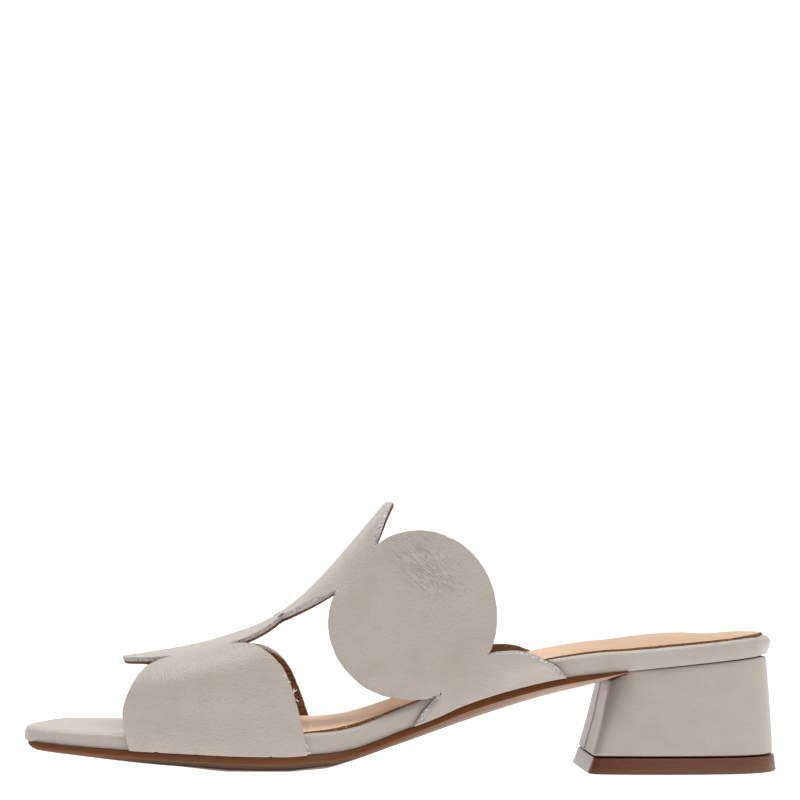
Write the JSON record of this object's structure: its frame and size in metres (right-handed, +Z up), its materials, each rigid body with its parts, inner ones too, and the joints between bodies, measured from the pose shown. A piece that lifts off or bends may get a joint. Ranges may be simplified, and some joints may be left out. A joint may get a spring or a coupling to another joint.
{
  "type": "block-heel slide sandal",
  "caption": "Right-foot slide sandal with a block heel, an open toe and a leather upper cut as joined round discs over the foot.",
  "frame": {"origin": "on the floor, under the middle of the shoe's length and width", "axes": "+X from the toe to the heel, +Y from the medial to the lateral side of a right foot, +Z up"},
  "size_m": [0.2538, 0.0856, 0.0922],
  "materials": {
    "greige_leather": "smooth greige calf leather with a soft sheen",
    "tan_sock_leather": "matt tan lining leather",
    "brown_sole": "matt dark brown sole rubber"
  },
  "bodies": {
    "root": {"outsole": "brown_sole", "insole": "greige_leather", "sock": "tan_sock_leather", "heel": "greige_leather", "top_piece": "brown_sole", "upper": "greige_leather"}
  },
  "joints": []
}
